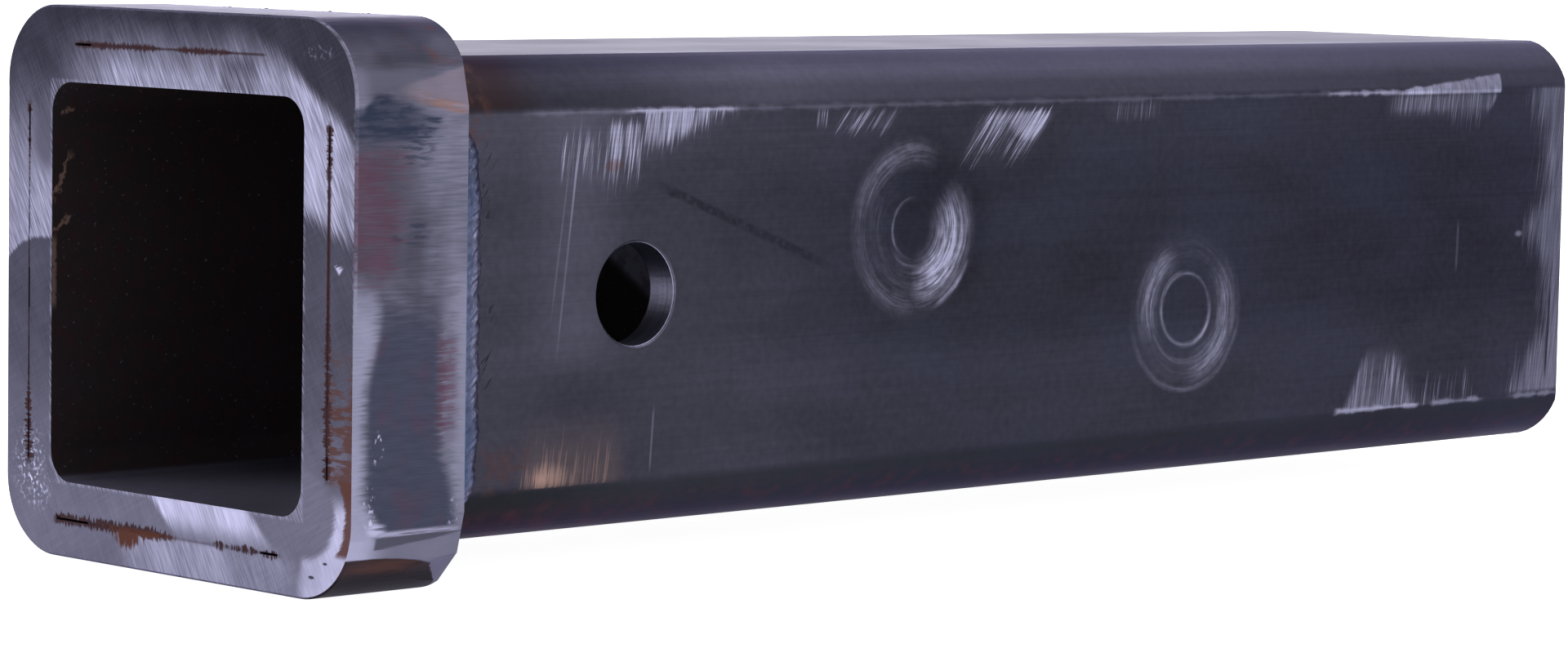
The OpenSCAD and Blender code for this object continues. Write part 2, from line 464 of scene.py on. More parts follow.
    # rust along the joint: a thin line with teeth across it, heavier in a few places
    teeth_up = grain(point, (0.45, 3, 2.6), seed=5)
    teeth_across = grain(point, (2.6, 3, 0.45), seed=6)
    top_run = x.within(-26.2, 22.5, 1.5) * z.over(0, 1)
    bottom_share = x.over(1, -3) + teeth_up.over(0.44, 0.6) * x.over(10, 12) + 0.25
    bottom_run = x.within(-31, 27, 1.5) * z.over(0, -1) * bottom_share.least(1.0)
    left_share = z.over(-6, -16) + teeth_across.over(0.42, 0.6) + 0.3
    left_run = z.within(-29.8, 28.6, 1.5) * x.over(0, -1) * left_share.least(1.0)
    right_run = z.within(-25.8, 28.5, 1.5) * x.over(0, 1)
    top_heavy = x.within(-26, -5, 4).most(x.within(1, 13, 3))
    bottom_heavy = x.within(-32, -1, 4).most(x.within(11, 27, 3) * (clouds.over(0.4, 0.6) * 0.7 + 0.1))
    left_heavy = z.over(-12, -26).most(z.over(14, 28) * 0.4)
    right_heavy = z.over(8, -16).most(z.over(12, 26) * 0.5)
    lying = abs(abs(z) - JOINT_MM)
    standing = abs(abs(x) - JOINT_MM)
    top_bite = 0.15 + (teeth_up - 0.3) * 1.7 * top_heavy - lying
    bottom_bite = 0.2 + (teeth_up - 0.3) * 3.0 * bottom_heavy - lying
    left_bite = 0.1 + (teeth_across - 0.36) * 4.6 * left_heavy - standing
    right_bite = 0.4 + (teeth_across - 0.42) * 3.6 * right_heavy - standing
    bleed = (top_bite.over(-0.2, 0.25) * top_run).most(bottom_bite.over(-0.2, 0.25) * bottom_run)
    bleed = bleed.most(left_bite.over(-0.2, 0.25) * left_run)
    bleed = bleed.most(right_bite.over(-0.2, 0.25) * right_run)
    colour = colour.tinted(DARK_RUST, bleed * 0.94)

    # orange rust: a run under the bottom joint, and bars and a strip at the right edge
    run = blot(x, z, (-8, -38.2), (10.5, 1.2)).most(blot(x, z, (-11.5, -39.2), (4, 2.4)))
    run = (run + (teeth_up - 0.5) * 1.6).over(0.05, 0.5) * z.over(-37.7, -38.3)
    bars = grain(point, (3.5, 3, 0.8), seed=7).over(0.46, 0.6)
    barred = x.within(38.9, 44.6, 0.6) * z.within(-26, -5.5, 3) * z.over(-2, -16)
    barred = barred * (bars + x.over(42.4, 44) * 0.4).least(1.0)
    strip = from_dimple.over(9.0, 9.8) * x.over(38.6, 39.6) * z.over(-37.6, -36.4) * z.over(-23, -26)
    orange = run.most(barred * 0.75).most(strip * 0.9)
    colour = colour.tinted(ORANGE_RUST, orange)

    rust = bleed.most(orange)
    roughness = ((tone / SCREEN_WHITE).over(0.2, 0.75) * -0.12 + 0.46).toward(0.85, rust)
    return surface(colour, 1 - rust, roughness, disc_lines, MOUTH_RELIEF)


def on_mouth_plane(point):
    """1 on the ground front plane and 0 behind it."""
    return point.parts()[1].over(FRONT_DEPTH_MM, FRONT_DEPTH_MM / 2)


def dress(node, finish):
    """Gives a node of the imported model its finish."""
    for place in nodes[node].material_slots:
        place.material = finish


# The joint between tube and collar: the disc smeared steel over it and rust filled the rest, so
# it shows as a thin seam just behind the front plane. Only a short stretch on the left is open.
SEAM_GAP_MM = 0.4
SEAM_DEPTH_MM = 1.5
SEAM_SET_BACK_MM = 0.05
OPEN_LOW_MM = -4.2
OPEN_HIGH_MM = 1.2
SEAM_CUTS = 60
SEAM_WAVES_PER_M = 400
SEAM_WANDER_MM = 0.16
mouth_finish, mouth_point = start_finish("ground_weld")
show(mouth_plane(mouth_point))
seam_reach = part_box("mouth_weld_top_right")[0].x
for quarter_turn, side in enumerate(("top", "right", "bottom", "left")):
    build = bmesh.new()
    bmesh.ops.create_cube(build, size=1.0)
    build.edges.ensure_lookup_table()
    lengthwise = [edge for edge in build.edges if abs(edge.verts[0].co.x - edge.verts[1].co.x) > 0.5]
    bmesh.ops.subdivide_edges(build, edges=lengthwise, cuts=SEAM_CUTS)
    stretch = Vector((2 * seam_reach, SEAM_DEPTH_MM * MM, SEAM_GAP_MM * MM))
    bmesh.ops.scale(build, verts=build.verts, vec=stretch)
    middle = Vector((0.0, (SEAM_DEPTH_MM / 2 + SEAM_SET_BACK_MM) * MM, JOINT_MM * MM))
    bmesh.ops.translate(build, verts=build.verts, vec=middle)
    turn = Matrix.Rotation(quarter_turn * math.pi / 2, 3, "Y")
    bmesh.ops.rotate(build, verts=build.verts, matrix=turn)
    for vert in build.verts:
        if vert.co.y < SEAM_SET_BACK_MM * MM * 1.5:
            set_back = abs(noise.noise(vert.co * SEAM_WAVES_PER_M)) * SEAM_WANDER_MM
            if side == "left" and OPEN_LOW_MM < vert.co.z / MM < OPEN_HIGH_MM:
                set_back = SEAM_DEPTH_MM * 0.7
            vert.co.y += set_back * MM
    seam_mesh = bpy.data.meshes.new("joint_seam_" + side)
    build.to_mesh(seam_mesh)
    build.free()
    seam_mesh.materials.append(mouth_finish)
    seam = bpy.data.objects.new("joint_seam_" + side, seam_mesh)
    scene.collection.objects.link(seam)
    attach(seam, BODY)

# The mouth welds: four corner welds that fill the space between the tube's round corners and
# the collar's tighter ones, ground flush with the front plane.
for mouth_corner in ("top_right", "bottom_right", "bottom_left", "top_left"):
    dress("mouth_weld_" + mouth_corner, mouth_finish)

# The receiver tube: a square steel tube with wide round bends, cut square at both ends, with the
# pin hole drilled through its left and right walls. It is left as rolled, in dark mill scale,
# with the marks of clamps and the grinder on it.
TUBE_WALL_MM = 5.9
CREASE_MM = 29.4
PIN_Y_MM = 63.2
PIN_R_MM = 8.35
RIGHT_FROM_MM = 25.4
RIGHT_FULL_MM = 27.0
SCALE_RELIEF = 0.00004
SCALE_TONE = 47
PLAIN_WEAR_TONE = 118
STROKE_TONE = 84
SLANTED_TONE = 88
CREASE_WEAR_HIGHLIGHT_TONE = 146
LOW_CREASE_WEAR_HIGHLIGHT_TONE = 134
WEDGE_TONE = 150
REAR_WEAR_TONE = 96
FIRST_RING_TONE = 150
SECOND_RING_TONE = 132
STREAK_TONE = 38
DRILLED_TONE = 132
HOLE_RIM_AND_HIGHLIGHT_TONE = 122
BORE_TONE = 49
BORE_SPECK_AND_LIGHT_TONE = 170
SAWN_TONE = 88
SCALE_SLATE = srgb(34, 41, 60)
SCALE_BROWN = srgb(40, 30, 28)
UNDERCUT_DARK = srgb(34, 28, 34)
SCUFF_TAN = srgb(168, 136, 126)
STAIN_RED = srgb(78, 46, 46)
LOWER_BEND_SHADE = srgb(37, 41, 42)
BEND_BROWN = srgb(52, 40, 40)
tube_half_mm = tube_high.x / MM
tube_finish, tube_point = start_finish("mill_scale_steel")
x, y, z = tube_point.parts()
drawn = grain(tube_point, (3, 60, 0.7), seed=11)
skin = grain(tube_point, (22, 30, 12), seed=12, detail=3)
speckle = grain(tube_point, (1.4, 1.4, 1.4), seed=13)
scale_tone = SCALE_TONE + (skin - 0.5) * 24 + (drawn - 0.5) * 6 + (speckle - 0.5) * 11
scale_rough = 0.43 + (skin - 0.5) * 0.16


def worn(lines, cover):
    """Scratches that thicken with cover, from none at 0 to the whole skin at 1."""
    return (lines * 1.3 + cover * 1.25 - 1.2).over(-0.08, 0.92) * cover.over(0, 0.2)


def strokes(lean, seed):
    """The field of straight scratches, lean degrees up from the tube's length, about 0 to 1."""
    fine = grain(tube_point, (9, 9, 0.32), turn=(lean, 0, 0), seed=seed, detail=3)
    broad = grain(tube_point, (30, 30, 1.1), turn=(lean, 0, 0), seed=seed + 0.5)
    return (fine * 0.72 + broad * 0.28 - 0.32) / 0.36


# its top, left and bottom sides: plain scale with slanted wear in patches
plain_patches = grain(tube_point, (26, 34, 26), seed=14).over(0.5, 0.75)
plain_wear = worn(strokes(64, seed=15), plain_patches * 0.6)
plain_tone = scale_tone.toward(PLAIN_WEAR_TONE, plain_wear)
plain_scale = surface(steel(plain_tone), 1.0, scale_rough, drawn, SCALE_RELIEF)

# its right side: paler next to the collar and below; its upper bend painted lighter, as light from above
# makes it, except next to the collar, and painted shade on its lower bend, deeper next to the collar
below_bend = z.over(30.6, 29)
lower_bend = z.over(-29, -31)
right_tone = scale_tone + y.over(135, 28) * 13 + y.within(43, 57, 12) * below_bend * z.over(-16, -6) * 10
right_tone = right_tone + z.over(-8, -16) * (y.over(45, 95) * 11 - 5)
right_tone = right_tone + z.over(14, 26) * below_bend * 6 - y.over(200, 260) * 3
upper_bend_light_tone = 25 + z.over(32, 35) * y.over(30, 200) * 12 - y.over(100, 34) * 34 - y.over(44, 34) * 10
right_tone = right_tone + (1 - below_bend) * upper_bend_light_tone
right_tone = right_tone - lower_bend * (5 + y.over(60, 28) * 20)
upright = strokes(82, seed=21)
slanted = strokes(50, seed=22)
lean_y = y - (z - 27) * 0.14
slant_y = y - (z - 28) * 0.8

# upright strokes of the grinder under the upper crease, dense in a block and a long wedge
loose_strokes = lean_y.within(47, 57, 3) * z.within(17.5, 27, 6) * 0.47
dense_block = lean_y.within(56.5, 64.5, 3) * z.over(12, 25) * z.over(29.5, 26)
long_wedge = (z - 21 - (y - 66) * 0.34).over(-1.5, 4.5) * y.within(64.5, 85, 4) * z.over(29.8, 29.3)
short_tuft = lean_y.within(103, 105.6, 1) * z.within(25.5, 29, 2.5) * 0.7
rear_strokes = lean_y.within(269, 279, 4) * z.within(22, 29, 6) * 0.35
upright_cover = loose_strokes.most(dense_block * 0.95).most(long_wedge * 1.1).most(short_tuft)
right_tone = right_tone.toward(72, upright_cover * 0.55)
all_upright = worn(upright, upright_cover.most(rear_strokes))
right_tone = right_tone.toward(STROKE_TONE + upright * 78, all_upright)

# slanted strokes further back
tuft_heart = blot(y, z, (154.6, 25.6), (6, 3.4)).most(0.0)
slanted_tuft = slant_y.within(143, 160.5, 5) * z.over(15, 26) * z.over(29.5, 26.5)
slanted_arcs = slant_y.within(108, 122, 5) * z.within(24.5, 29, 3) * 0.55
soft_patch = y.within(174, 188, 5) * z.within(25.5, 29, 2.5) * 0.55
slanted_cover = (slanted_tuft * (0.75 + tuft_heart * 1.1)).most(slanted_arcs)
right_tone = right_tone.toward(64, (slanted_cover * 0.6).most(soft_patch * 0.9))
right_tone = right_tone.toward(SLANTED_TONE + slanted * 80, worn(slanted, slanted_cover))
right_tone = right_tone.toward(70 + upright * 36, worn(upright, soft_patch))

# the upper crease, a bright line broken here and there, scuffed and painted as a highlight, and the veil
# and wedge behind it
dashes = grain(tube_point, (3, 3, 3), seed=23, detail=3)
crease_line = (0.24 + (dashes - 0.45) * 1.4 - abs(z - CREASE_MM + 0.1)).over(-0.4, 0.4)
crease_glint = 0.26 + y.within(61, 84.5, 3) * 0.74 + y.within(234, 254, 2) * 0.65
right_tone = right_tone.toward(CREASE_WEAR_HIGHLIGHT_TONE, crease_line * crease_glint * y.within(40, 255, 6))
veil = y.within(252, 284, 6) * z.within(25, 29, 3) * (283.4 - y + (z - 28) * 0.8).over(-0.6, 0.6)
veil_strokes = y.within(268, 279, 3) * z.over(19, 27) * z.over(29.3, 28.5) * 0.7
right_tone = right_tone.toward(70, veil * 0.85)
right_tone = right_tone.toward(78 + upright * 42, worn(upright, (veil * 0.75).most(veil_strokes)))
wedge_top = 29.6 + (y - 253) / 31 * 2.7 + (dashes - 0.5) * 1.2 - z
wedge_end = 284.7 - y - (30 - z) * 0.3
rear_wedge = wedge_top.over(-0.2, 0.4) * z.over(28.5, 29) * y.over(250, 256) * wedge_end.over(-0.4, 0.3)
rear_wedge = rear_wedge * (0.55 + upright * 0.5)
right_tone = right_tone.toward(WEDGE_TONE + (dashes - 0.5) * 120, rear_wedge)

# the lower crease near the rear end, a broken bright line scuffed and painted as a highlight, and the
# patch of fine scratches over it
patch_side = (y - (z + 29.4) * 0.6).over(238.8, 241) * (264.5 - y - (z + 29.4) * 0.5).over(0, 6)
low_patch = patch_side * z.over(-16.5, -21) * z.over(-30, -29.4)
low_haze = low_patch * (0.6 + y.over(252, 242) * 0.4)
right_tone = right_tone.toward(76 + (speckle - 0.5) * 30, low_haze * 0.9)
low_cover = low_patch * (0.62 + z.over(-20, -29) * 0.3)
low_cover = low_cover.most(y.within(256, 280, 5) * z.over(-18, -29) * z.over(-30, -29.4) * 0.48)
right_tone = right_tone.toward(78 + upright * 46, worn(upright, low_cover))
low_line = (0.3 + (dashes - 0.45) * 1.8 - abs(z + CREASE_MM)).over(-0.4, 0.4)
low_glint = y.within(238, 262, 2).most(y.within(266, 281, 3) * 0.7).most(y.over(288, 292) * 0.6)
right_tone = right_tone.toward(LOW_CREASE_WEAR_HIGHLIGHT_TONE, low_line * low_glint)

# the rear end, rubbed pale in a wavy band with upright lines and one dark scratch
rear_edge = 299.6 - z.over(21, 28) * 3.3 - z.within(-1.0, 6.0, 9) * 5.5 - z.over(-15, -30) * 9
rear_wear = (y - rear_edge + (upright - 0.5) * 6 + (skin - 0.5) * 8).over(-4, 4)
rear_wear = rear_wear * z.within(-28.8, 29.6, 1.2)
right_tone = right_tone.toward(REAR_WEAR_TONE + (upright - 0.5) * 40, rear_wear * 0.9)
right_tone = right_tone.toward(48, scratch(y, z, (300.4, -27), (301.4, -8), 0.5))


def ring_mark(centre, bands, seed):
    """Round scratches of a clamp's foot. A band has a radius, a half width and a strength, the side
    it is brightest on, in degrees, and how far it reaches round from there, 0 for all the way."""
    across = y - centre[0]
    rise = z - centre[1]
    far = (across * across + rise * rise) ** 0.5
    spread = {"Vector": tube_point, "Scale": (5, 5, 5)}
    nearby = far.node("ShaderNodeMapping", {"vector_type": "TEXTURE"}, spread)
    field = {"Vector": nearby, "W": far * 2.6 + seed, "Scale": 1.0, "Detail": 4.0}
    swirl = far.node("ShaderNodeTexNoise", {"noise_dimensions": "4D"}, field).over(0.3, 0.7)
    mark = 0.0
    for radius, half_width, strength, side, focus in bands:
        ring = abs(far - radius).over(half_width, 0.0)
        if focus:
            angle = math.radians(side)
            lit = (across * math.cos(angle) + rise * math.sin(angle)) / (far + 0.01)
            ring = ring * lit.over(1.0 - focus, 1.0)
        mark = (ring * strength).most(mark)
    return mark * (0.35 + swirl * 0.75) * (0.7 + speckle * 0.6)


# two round marks of a clamp's foot, the first brightest at its lower right
FIRST_RING = (
    (5.2, 0.6, 0.5, 180, 1.3),
    (6.2, 1.0, 0.45, -70, 1.3),
    (9.2, 6.5, 1.25, -29, 0.8),
    (9.5, 6.5, 0.2, 225, 2.0),
    (12.8, 3.6, 0.5, 124, 0.6),
    (12.8, 3.4, 0.3, 222, 0.7),
    (14.2, 1.0, 0.8, -46, 0.12),
)
SECOND_RING = (
    (6.4, 0.6, 0.62, 0, 0),
    (6.5, 0.9, 0.95, 155, 0.9),
    (6.5, 0.9, 0.95, -35, 0.9),
    (9.4, 1.0, 0.4, 215, 2.0),
    (10.2, 4.0, 0.8, 157, 0.6),
    (11.0, 4.4, 0.82, -22, 0.9),
    (11.0, 4.6, 0.14, 0, 0),
    (14.4, 1.0, 0.36, -80, 1.6),
)
right_tone = right_tone - blot(y, z, (128, 9.5), (20, 18)).over(0, 0.5) * 7
right_tone = right_tone.toward(FIRST_RING_TONE, ring_mark((126.3, 8.3), FIRST_RING, seed=24))
right_tone = right_tone.toward(SECOND_RING_TONE, ring_mark((195.6, -8.4), SECOND_RING, seed=25))

# long scratches, the dark streak behind the pin hole, and the hole's drilled wall and bare rim, with a
# painted highlight
long_scratch = scratch(y, z, (46.3, -10), (51, 28), 0.3) * (0.3 + z.over(5, 24) * 0.6)
right_tone = right_tone.toward(128, long_scratch)
right_tone = right_tone.toward(110, scratch(y, z, (45.0, -4), (49.3, 26), 0.25) * 0.35)
right_tone = right_tone.toward(108, scratch(y, z, (66.6, -29), (67.4, -18), 0.3) * 0.5)
right_tone = right_tone.toward(82, scratch(y, z, (272.2, -5), (272.6, 5), 0.5) * 0.5)
right_tone = right_tone.toward(100, blot(y, z, (291, 1.7), (1.6, 0.9)).over(0, 0.8))
streak = scratch(y, z, (66, 18), (108, 2.2), 1.1) * speckle.over(0.3, 0.6)
streak = streak.most(blot(y, z, (71, 15.8), (1.8, 0.8)).over(0, 0.7))
right_tone = right_tone.toward(STREAK_TONE, streak * 0.75)
from_pin = ((y - PIN_Y_MM) ** 2.0 + (z * z)) ** 0.5
turned_lines = grain(tube_point, (0.5, 20, 20), seed=26)
drilled = from_pin.over(PIN_R_MM + 0.12, PIN_R_MM + 0.06)
right_tone = right_tone.toward(DRILLED_TONE + (turned_lines - 0.5) * 60, drilled)
# the bare rim, painted brighter towards its lower right as a highlight
outer_skin = x.over(tube_half_mm - 0.3, tube_half_mm - 0.1)
hole_rim_and_highlight = from_pin.over(PIN_R_MM + 0.42, PIN_R_MM + 0.15) * outer_skin
hole_rim_and_highlight = hole_rim_and_highlight * (0.2 + (y - PIN_Y_MM - z).over(-4, 9) * 0.7)
right_tone = right_tone.toward(HOLE_RIM_AND_HIGHLIGHT_TONE, hole_rim_and_highlight)
right_colour = steel(right_tone).tinted(SCALE_SLATE, skin.over(0.35, 0.65) * y.over(60, 140) * 0.22)

# the warm places: the tan scuff, rust and stains next to the collar, red on the lower bend; the lower
# bend is also tinted dark as painted shade
stains = grain(tube_point, (4, 3, 2.6), seed=27, detail=3)
tan_patch = y.within(40, 60, 6) * z.over(-16, -28.5) * z.over(-30.2, -29.7)
tan_heart = blot(y, z, (43.5, -28.4), (7, 3)).most(0.0)
tan_wear = worn(upright, tan_patch * (0.7 + tan_heart * 0.5)).most(tan_patch * 0.3)
right_colour = right_colour.tinted(SCUFF_TAN, tan_wear * (0.28 + tan_heart * 0.4))
low_stain = y.within(28, 40, 6) * z.within(-30, -23, 4) * stains.over(0.42, 0.62)
bend_stain = y.over(33.5, 28.5) * z.over(20, 30) * stains.over(0.4, 0.6)
right_colour = right_colour.tinted(BEND_BROWN, y.over(48, 32) * (1 - below_bend) * 0.7)
smudge = (blot(y, z, (58.6, 20.7), (2.8, 1.2)) + (stains - 0.5) * 1.5).over(0, 0.6)
stained = (low_stain * 0.35).most(bend_stain * 0.8).most(smudge * 0.5)
right_colour = right_colour.tinted(ORANGE_RUST, stained * 0.7)
lower_bend_stain = z.over(-31, -34) * (stains.over(0.45, 0.7) + y.over(90, 40) * 0.5)
# painted shade: the lower bend tinted dark grey
right_colour = right_colour.tinted(LOWER_BEND_SHADE, lower_bend * 0.6)
right_colour = right_colour.tinted(STAIN_RED, lower_bend_stain * 0.25)
spatter = grain(tube_point, (2, 2.8, 0.6), turn=(55, 0, 0), seed=28).over(0.6, 0.7)
undercut = spatter * y.within(28.4, 33, 3) * z.within(-14, 24, 5)
right_colour = right_colour.tinted(UNDERCUT_DARK, undercut * 0.9)
right_rough = (scale_rough - (right_tone / SCREEN_WHITE).over(0.3, 0.7) * 0.08).toward(0.7, stained)
right_scale = surface(right_colour, 1 - stained * 0.7, right_rough, drawn, SCALE_RELIEF)

# inside the bore: dull brown scale with rusty clouds and pale specks, its floor painted paler as light
# from the mouth makes it, painted light from the far pin hole on its left wall, and burrs on that wall's
# edge
bore_half_mm = tube_half_mm - TUBE_WALL_MM
bore_floor = z.over(-bore_half_mm + 1.2, -bore_half_mm + 0.4)
left_wall = x.over(-bore_half_mm + 1, -bore_half_mm + 0.5)
floor_light = (70 - x.over(-10, 25) * 24) * (0.25 + y.over(75, 15) * 0.8)
bore_tone = BORE_TONE + bore_floor * floor_light + (speckle - 0.5) * 20 + (skin - 0.5) * 30
through_hole_light = past(y, z, (121, -2.3), (130.3, -9.2)).over(-0.3, 2)
through_hole_light = through_hole_light * blot(y, z, (129, -4), (16, 14)).over(0, 0.5) * left_wall
bore_tone = bore_tone.toward(BORE_SPECK_AND_LIGHT_TONE, through_hole_light)
bore_specks = grain(tube_point, (0.7, 0.9, 0.7), seed=32).over(0.67, 0.75)
bore_tone = bore_tone.toward(BORE_SPECK_AND_LIGHT_TONE, bore_specks)
burr_y = y + (speckle - 0.5) * 3 + (stains - 0.5) * 3
flash = scratch(burr_y, z, (0.4, 12.5), (3.8, 21), 0.6)
flash = flash.most(scratch(burr_y, z, (1.2, 27), (4, 27.8), 0.6))
flash = flash.most(scratch(burr_y, z, (0.6, 8), (3.8, 10.8), 0.5))
flash = flash.most(y.over(1.2, 0.6) * z.within(-4, 7, 2))
flash = flash * grain(tube_point, (1, 0.9, 0.9), seed=31).over(0.32, 0.5)
flash = flash * left_wall * 0.6
bore_colour = steel(bore_tone).tinted(SCALE_BROWN, 0.75 - bore_floor * 0.5 - through_hole_light * 0.7)
bore_colour = bore_colour.tinted(DARK_RUST, stains.over(0.5, 0.64) * (0.4 - bore_floor * 0.3))
bore_colour = bore_colour.tinted(SCUFF_TAN, flash * 0.8)
bore_metal = 0.35 + bore_floor * 0.3
bore_rough = 0.7 - bore_floor * 0.25
bore_scale = surface(bore_colour, bore_metal, bore_rough, speckle, SCALE_RELIEF)

# the rear end, as the saw left it
saw_lines = grain(tube_point, (60, 60, 0.5), turn=(0, -12, 0), seed=33)
sawn_tone = SAWN_TONE + (saw_lines - 0.5) * 60 + (speckle - 0.5) * 20
sawn_rough = 0.45 + (speckle - 0.5) * 0.2
sawn_end = surface(steel(sawn_tone), 1.0, sawn_rough, saw_lines, SCALE_RELIEF)
tube_len_mm = tube_high.y / MM
on_rear_end = y.over(tube_len_mm - FRONT_DEPTH_MM, tube_len_mm - FRONT_DEPTH_MM / 2)

tube_skin = covered(plain_scale, right_scale, x.over(RIGHT_FROM_MM, RIGHT_FULL_MM))
inside_bore = abs(x).most(abs(z)).over(bore_half_mm + 0.3, bore_half_mm + 0.1)
tube_skin = covered(tube_skin, bore_scale, inside_bore)
tube_skin = covered(tube_skin, sawn_end, on_rear_end)
show(covered(tube_skin, mouth_plane(tube_point), on_mouth_plane(tube_point)))
dress("receiver_tube", tube_finish)

# The collar: a short ring sawn from a larger square tube and slipped over the mouth. Its sides
# keep the colours of the welding heat, and a grinder has dressed its edges and corners.
COLLAR_RELIEF = 0.00006
COLLAR_SIDE_FROM_MM = 12
COLLAR_SIDE_FULL_MM = 10
GROUND_TONE = 84
UPPER_BEND_TONE = 58
EDGE_WEAR_HIGHLIGHT_TONE = 134
HOLLOW_TONE = 64
FRINGE_TONE = 120
STRIP_TONE = 126
CHIP_TONE = 172
GLINT_TONE = 160
PALE_LINE_TONE = 140
FACET_TONE = 146
LEAF_TONE = 70
HEAT_RED = srgb(82, 52, 68)
HEAT_BLACK = srgb(42, 48, 66)
HOLLOW_BLUE = srgb(58, 64, 88)
HEAT_PINK = srgb(132, 122, 138)
HEAT_COPPER = srgb(134, 98, 84)
BROWN_SKIN = srgb(38, 22, 22)
BROWN_SHEEN = srgb(86, 54, 44)
collar_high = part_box("mouth_collar")[1]
collar_half_mm = collar_high.x / MM
collar_len_mm = collar_high.y / MM
collar_finish, collar_point = start_finish("ground_steel")
x, y, z = collar_point.parts()
ground = grain(collar_point, (1.5, 6, 0.45), seed=51, detail=3)
wisps = grain(collar_point, (4, 5, 1.2), seed=52, detail=3)
clouds = grain(collar_point, (7, 6, 7), seed=53)
ragged = (ground - 0.5) * 6 + (wisps - 0.5) * 3
ground_tone = GROUND_TONE + y.over(8, 17) * 18 + (ground - 0.5) * 40 + (clouds - 0.5) * 30
collar_rough = 0.42 + (wisps - 0.5) * 0.14

# its top, left and bottom sides: ground steel with faint bands of heat colour
plain_heat = steel(ground_tone).tinted(HEAT_RED, y.within(3, 12, 6) * clouds.over(0.4, 0.7) * 0.4)
plain_collar = surface(plain_heat, 1.0, collar_rough, ground, COLLAR_RELIEF)

# its right side: a darker upper bend, and a pale line on the front edge's chamfer, partly worn and
# partly a painted highlight
side_tone = ground_tone.toward(96, z.within(33.8, 37, 2) * y.over(18, 10) * 0.8)
upper_bend = UPPER_BEND_TONE + y.over(8, 3) * z.over(41, 38) * 20
upper_bend = upper_bend + y.over(12, 20) * 12 + (clouds - 0.5) * 20
side_tone = side_tone.toward(upper_bend, z.over(35.8, 38.8) * 0.9)
side_tone = side_tone.toward(118, y.over(4, 1) * z.within(30, 37, 3) * 0.7)
side_tone = side_tone.toward(74 + (clouds - 0.5) * 30, z.within(5, 25, 6) * y.over(16, 5))
side_tone = side_tone - z.within(-2, 16, 6) * y.within(11, 18, 4) * 17
# the front edge's chamfer: a pale line, worn and painted as a highlight
edge_wear_and_highlight = y.within(0.1, 0.6, 0.2) * wisps.over(0.3, 0.6)
side_tone = side_tone.toward(EDGE_WEAR_HIGHLIGHT_TONE, edge_wear_and_highlight * 0.7)

# a dark hollow that the disc left alone, between two paler strips
reach = 2.5 + z.over(-14, 0) * 2.6 - z.over(1, 9) * 4.5 + z.over(-28, -33.5) * 2.8
front_strip = (reach - y + (ground - 0.5) * 3.2).over(-1.3, 1.8) * (z + ragged).over(9, -3)
front_strip = front_strip * z.over(-38, -37)
rear_reach = 17.2 + z.over(-20, -31) * 3
hollow = (y - reach + ragged * 0.25).over(-0.3, 1.2) * (rear_reach - y + ragged * 0.8).over(-1.2, 1.6)
hollow = hollow * (z + ragged * 1.3).over(5, -5) * (z + 33.3).over(-0.2, 0.3)
side_tone = side_tone.toward(HOLLOW_TONE + (wisps - 0.5) * 26, hollow)
rear_fringe = (y - 20 + ragged * 0.9).over(-1.5, 1.5) * z.within(-31, 5, 5)
side_tone = side_tone.toward(FRINGE_TONE, rear_fringe * 0.9)
strip_tone = STRIP_TONE + z.over(-14, -24) * 10 + (clouds - 0.5) * 24
side_tone = side_tone.toward(strip_tone, front_strip)
chips = grain(collar_point, (0.9, 0.8, 1.1), seed=54).over(0.54, 0.64)
chipped = blot(y, z, (4.8, -20.5), (1.5, 3)).over(0, 0.4)
chipped = chipped.most(blot(y, z, (3.4, -29.5), (1.6, 4)).over(0, 0.4))
chipped = chipped.most(blot(y, z, (20, -31), (1.5, 3)).over(0, 0.4) * 0.7)
side_tone = side_tone.toward(CHIP_TONE, chips * chipped)
glint = blot(y, z, (5, -33), (2.6, 1.4)).over(0, 0.6)
side_tone = side_tone.toward(GLINT_TONE, glint * ground.over(0.3, 0.6))

# the dressed lower corner: a pale line, a dark leaf and a pale facet over brown skin, which carries a
# painted sheen
pale_line = z.within(-34.3, -33.5, 0.4) * y.within(5.5, 21.5, 1.5) * ground.over(0.3, 0.55)
side_tone = side_tone.toward(PALE_LINE_TONE, pale_line)
lower_facet = z.over(-34.2, -34.8)
facet_tone = FACET_TONE - y.over(2, 9) * 44 + (clouds - 0.5) * 20
side_tone = side_tone.toward(facet_tone, lower_facet)
leaf_half = ((22.6 - y) / 17).most(0.0) ** 0.7 * 0.95
leaf_middle = -35.3 + (y - 5.5) * 0.06
leaf = (leaf_half - abs(z - leaf_middle) + (ground - 0.5) * 0.8).over(-0.15, 0.25) * y.over(4.8, 5.6)
side_tone = side_tone.toward(LEAF_TONE, leaf * 0.9)
side_colour = steel(side_tone)
skin_top = -37.4 - (y - 3).most(0.0) ** 2.0 * 0.0075 + (wisps - 0.5) * 0.4
skin_end = 17.9 - (z + 39.6).least(0.0) * 1.1 - y + ragged * 0.12
brown = (skin_top - z).over(-0.1, 0.25) * skin_end.over(-0.1, 0.4)
# a painted sheen on the brown skin
brown_sheen = (blot(y, z, (7, -39), (9, 1.6)) + (wisps - 0.5) * 1.4).over(0, 0.8)
side_colour = side_colour.tinted(BROWN_SKIN, brown * 0.97)
side_colour = side_colour.tinted(BROWN_SHEEN, brown * brown_sheen * 0.5)
side_colour = side_colour.tinted(BLACK, brown * z.over(-39, -41.5) * 0.8)

